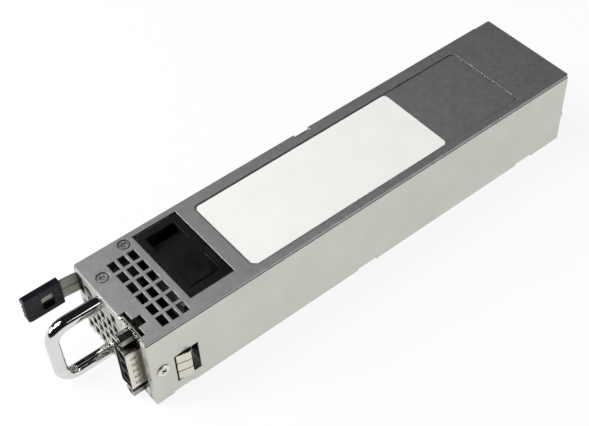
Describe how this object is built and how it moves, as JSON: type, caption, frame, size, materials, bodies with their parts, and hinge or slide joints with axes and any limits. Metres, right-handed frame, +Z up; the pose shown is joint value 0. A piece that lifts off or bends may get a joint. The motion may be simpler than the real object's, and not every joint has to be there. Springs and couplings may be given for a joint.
{
  "type": "hot swap server power supply",
  "caption": "Slim sheet-steel hot swap server power supply with a D-shaped grab handle, sprung release latch, front power connector, 40 mm fan and rear card edge.",
  "frame": {"origin": "centre of the case's underside", "axes": "+Y along the case from the handle end to the card edge, +Z up, +X to the right seen from the handle end"},
  "size_m": [0.0537, 0.2626, 0.0404],
  "materials": {
    "galvanised_cover": "satin",
    "tray_steel": "satin",
    "panel_steel": "satin",
    "screw_steel": "satin",
    "label_film": "matt",
    "handle_chrome": "polished",
    "spring_steel": "satin",
    "grip_plastic": "fine grain",
    "lens_smoked": "gloss",
    "led_epoxy": "gloss",
    "nickel_shell": "bright nickel plate",
    "insulator_black": "moulded",
    "contact_gold": "gold plate",
    "fan_plastic": "moulded",
    "rotor_plastic": "moulded",
    "soft_iron": "satin",
    "magnet_ferrite": "matt",
    "shaft_steel": "ground",
    "copper": "enamelled wire",
    "board_laminate": "solder mask",
    "ferrite": "matt",
    "capacitor_sleeve": "sleeve",
    "film_block": "moulded",
    "ceramic": "glazed",
    "sink_aluminium": "extruded",
    "package_epoxy": "moulded",
    "tape_yellow": "polyester tape",
    "tinned": "tinned",
    "film_black": "film",
    "wire_insulation": "cable sheath",
    "bracket_paint": "black enamel",
    "jack_steel": "plated"
  },
  "bodies": {
    "casing": {"base_tray": "tray_steel", "blank_label": "label_film", "board_screws": "screw_steel", "board_standoffs": "screw_steel", "bulk_capacitors": "capacitor_sleeve", "card_contacts": "contact_gold", "connector_back_plate": "nickel_shell", "connector_insulator": "insulator_black", "connector_shell": "nickel_shell", "control_board": "board_laminate", "control_chips": "package_epoxy", "cover_screws": "screw_steel", "fan_bearings": "shaft_steel", "fan_board": "board_laminate", "fan_bracket": "bracket_paint", "fan_coils": "copper", "fan_frame": "fan_plastic", "fan_screws": "screw_steel", "fan_stator": "soft_iron", "film_capacitors": "film_block", "filter_choke_base": "insulator_black", "filter_choke_core": "ferrite", "filter_choke_windings": "copper", "front_panel": "panel_steel", "fuse": "ceramic", "grab_handle": "handle_chrome", "handle_screws": "screw_steel", "input_leads": "wire_insulation", "insulating_sheet": "film_black", "jack_nuts": "jack_steel", "jack_sockets": "jack_steel", "latch_leaf_root": "spring_steel", "latch_rivets": "screw_steel", "lead_terminals": "tinned", "main_board": "board_laminate", "output_bus_bars": "copper", "output_capacitors": "capacitor_sleeve", "output_choke_core": "ferrite", "output_choke_winding": "copper", "power_contacts": "contact_gold", "primary_heat_sink": "sink_aluminium", "primary_transistors": "package_epoxy", "rear_panel": "panel_steel", "rectifier_transistors": "package_epoxy", "secondary_heat_sink": "sink_aluminium", "side_screw": "screw_steel", "status_led": "led_epoxy", "status_lens": "lens_smoked", "top_cover": "galvanised_cover", "transformer_core": "ferrite", "transformer_pins": "tinned", "transformer_winding": "tape_yellow", "transistor_screws": "screw_steel"},
    "release_latch": {"latch_arm": "spring_steel", "latch_grip": "grip_plastic"},
    "fan_rotor": {"fan_impeller": "rotor_plastic", "fan_yoke": "soft_iron", "fan_magnet": "magnet_ferrite", "fan_shaft": "shaft_steel"},
    "ground_spring": {"grounding_spring": "nickel_shell"}
  },
  "joints": [
    {"name": "latch_flex", "type": "hinge", "parent": "casing", "child": "release_latch", "pos_m": [-0.0238, -0.081, 0.0317], "axis": [0, 0, 1], "range_deg": [0, 6], "stiffness_Nm_per_rad": 2.5},
    {"name": "fan_spin", "type": "hinge", "parent": "casing", "child": "fan_rotor", "pos_m": [-0.0021, -0.0779, 0.0202], "axis": [0, 1, 0], "continuous": true},
    {"name": "spring_press", "type": "hinge", "parent": "casing", "child": "ground_spring", "pos_m": [0.02435, -0.1041, 0.01485], "axis": [0, 0, 1], "range_deg": [0, 7], "stiffness_Nm_per_rad": 0.13}
  ]
}
